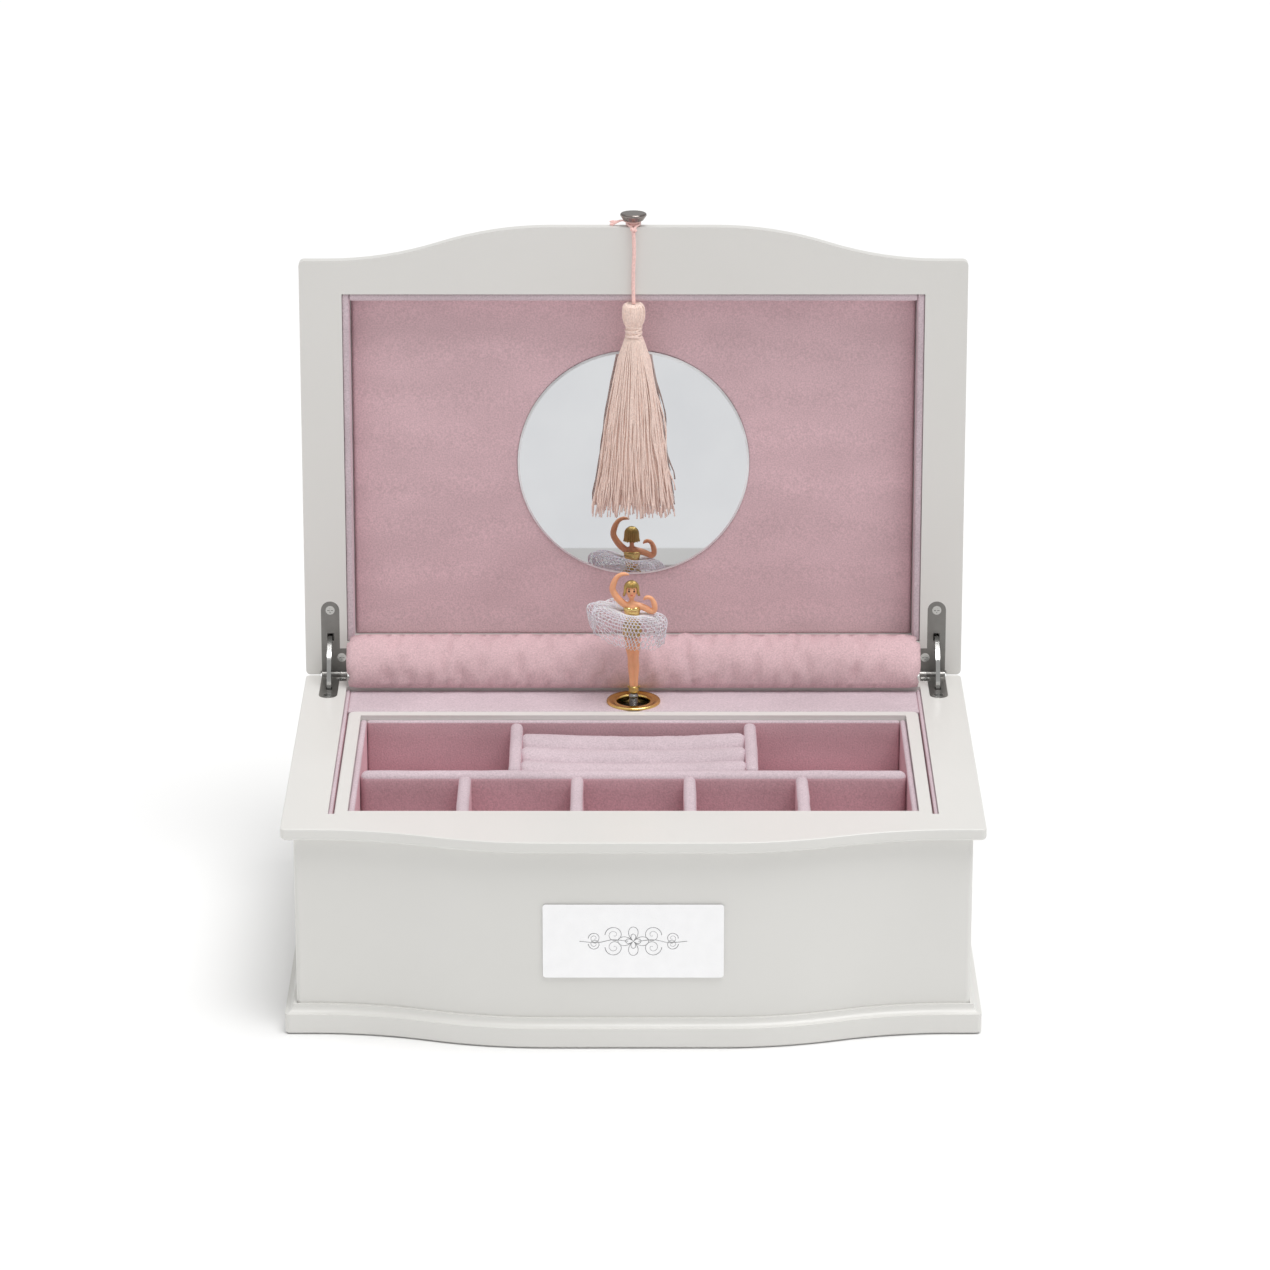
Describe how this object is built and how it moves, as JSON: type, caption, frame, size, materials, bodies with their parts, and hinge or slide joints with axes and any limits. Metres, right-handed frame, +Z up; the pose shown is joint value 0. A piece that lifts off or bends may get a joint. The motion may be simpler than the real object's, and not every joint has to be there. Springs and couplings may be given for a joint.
{
  "type": "ballerina jewellery box",
  "caption": "Serpentine-front music jewellery box with mirror lid, velvet lift-out tray, quadrant hinges, spinning ballerina and a tassel on the lid knob.",
  "frame": {"origin": "on the resting face, under the middle of the top rim", "axes": "+Z up, front faces -Y, +X to the viewer's right"},
  "size_m": [0.275, 0.2147, 0.2842],
  "materials": {
    "painted_wood": "pale grey-white satin paint",
    "rose_velvet": "short pile",
    "pale_velvet": "short pile",
    "felt": "felt",
    "board": "bare board",
    "silver_plate": "polished",
    "mirror_glass": "silvered",
    "gold": "polished gold",
    "pewter": "dark nickel",
    "bright_steel": "bright nickel",
    "spring_steel": "steel",
    "movement_brass": "turned brass",
    "cast_zinc": "die cast",
    "fan_plastic": "moulded",
    "skin_plastic": "moulded",
    "gold_paint": "metallic paint",
    "white_net": "tulle",
    "silk": "silk thread"
  },
  "bodies": {
    "box": {"front_panel": "painted_wood", "back_panel": "painted_wood", "right_side_panel": "painted_wood", "left_side_panel": "painted_wood", "bottom_felt": "felt", "bottom_panel": "board", "base_moulding": "painted_wood", "top_rim": "painted_wood", "engraved_plate": "silver_plate", "well_wall_liners": "rose_velvet", "well_floor_liner": "rose_velvet", "shelf_partition": "pale_velvet", "motor_shelf": "pale_velvet", "escutcheon_ring": "gold", "tray_ledges": "board", "hinge_lower_leaves": "pewter", "hinge_pins": "pewter", "hinge_screws_lower": "bright_steel", "hinge_cover_roll": "pale_velvet", "movement_bedplate": "cast_zinc", "comb": "spring_steel", "movement_screws": "bright_steel"},
    "lid": {"lid_frame": "painted_wood", "lid_top_panel": "painted_wood", "lid_wall_liners": "pale_velvet", "lid_lining_board": "rose_velvet", "lid_mirror": "mirror_glass", "hinge_upper_leaves": "pewter", "hinge_screws_upper": "bright_steel", "tassel_knob": "pewter", "tassel_loop": "silk"},
    "right_arm": {"right_hinge_arm": "bright_steel"},
    "left_arm": {"left_hinge_arm": "bright_steel"},
    "tray": {"tray_frame": "painted_wood", "tray_floor": "board", "tray_floor_lining": "rose_velvet", "tray_wall_liners": "rose_velvet", "long_divider": "pale_velvet", "back_row_dividers": "pale_velvet", "front_row_dividers": "pale_velvet", "ring_rolls": "pale_velvet"},
    "cylinder": {"music_cylinder": "movement_brass", "cylinder_arbor": "spring_steel"},
    "barrel": {"great_wheel": "movement_brass", "mainspring_barrel": "movement_brass", "mainspring": "spring_steel"},
    "winder": {"winding_arbor": "spring_steel", "winding_key": "spring_steel"},
    "fan": {"governor_fan": "fan_plastic"},
    "spring": {"coil_spring": "spring_steel"},
    "figure": {"ballerina_body": "skin_plastic", "ballerina_costume": "gold_paint", "ballerina_hair": "gold_paint", "ballerina_tutu": "white_net"},
    "knot": {"tassel_knot": "silk"},
    "tassel": {"tassel_cord": "silk", "tassel_head": "silk", "tassel_skirt": "silk"}
  },
  "joints": [
    {"name": "lid_hinge", "type": "hinge", "parent": "box", "child": "lid", "pos_m": [0, 0.089, 0.08665], "axis": [1, 0, 0], "range_deg": [0, 92], "deforming": ["hinge_cover_roll"]},
    {"name": "right_arm_swing", "type": "hinge", "parent": "box", "child": "right_arm", "pos_m": [0, 0.089, 0.08665], "axis": [1, 0, 0], "range_deg": [0, 46]},
    {"name": "left_arm_swing", "type": "hinge", "parent": "box", "child": "left_arm", "pos_m": [0, 0.089, 0.08665], "axis": [1, 0, 0], "range_deg": [0, 46]},
    {"name": "tray_lift", "type": "slide", "parent": "box", "child": "tray", "axis": [0, 0, -1], "range_m": [-0.03, 0]},
    {"name": "cylinder_spin", "type": "hinge", "parent": "box", "child": "cylinder", "pos_m": [0, 0.0605, 0.05], "axis": [0, 0, 1], "continuous": true},
    {"name": "great_wheel_spin", "type": "hinge", "parent": "box", "child": "barrel", "pos_m": [0, 0.066, 0.028], "axis": [0, 1, 0], "continuous": true},
    {"name": "fan_spin", "type": "hinge", "parent": "box", "child": "fan", "pos_m": [0.0098, 0.0605, 0.07], "axis": [0, 0, 1], "continuous": true},
    {"name": "key_wind", "type": "hinge", "parent": "box", "child": "winder", "pos_m": [0, 0.08, 0.028], "axis": [0, 1, 0], "continuous": true},
    {"name": "figure_bend", "type": "hinge", "parent": "box", "child": "spring", "pos_m": [0, 0.0605, 0.0876], "axis": [1, 0, 0], "range_deg": [0, 86.01], "deforming": ["coil_spring", "ballerina_tutu"]},
    {"name": "figure_spin", "type": "hinge", "parent": "spring", "child": "figure", "pos_m": [0, 0.0605, 0.09], "axis": [0, 0, 1], "continuous": true},
    {"name": "tassel_plumb", "type": "hinge", "parent": "lid", "child": "knot", "pos_m": [0, 0.09446, 0.27887], "axis": [1, 0, 0], "range_deg": [-92, 0], "deforming": ["tassel_cord", "tassel_head", "tassel_skirt"]},
    {"name": "tassel_swing", "type": "hinge", "parent": "knot", "child": "tassel", "pos_m": [0, 0.0933, 0.27827], "axis": [0, 1, 0], "range_deg": [-15, 15]}
  ],
  "couplings": [
    {"joint": "right_arm_swing", "follows": "lid_hinge", "ratio": 0.5},
    {"joint": "left_arm_swing", "follows": "lid_hinge", "ratio": 0.5},
    {"joint": "figure_bend", "follows": "lid_hinge", "ratio": 0.93478},
    {"joint": "tassel_plumb", "follows": "lid_hinge", "ratio": -1},
    {"joint": "great_wheel_spin", "follows": "cylinder_spin", "ratio": -0.27778},
    {"joint": "fan_spin", "follows": "cylinder_spin", "ratio": -6},
    {"joint": "figure_spin", "follows": "cylinder_spin", "ratio": 1}
  ]
}
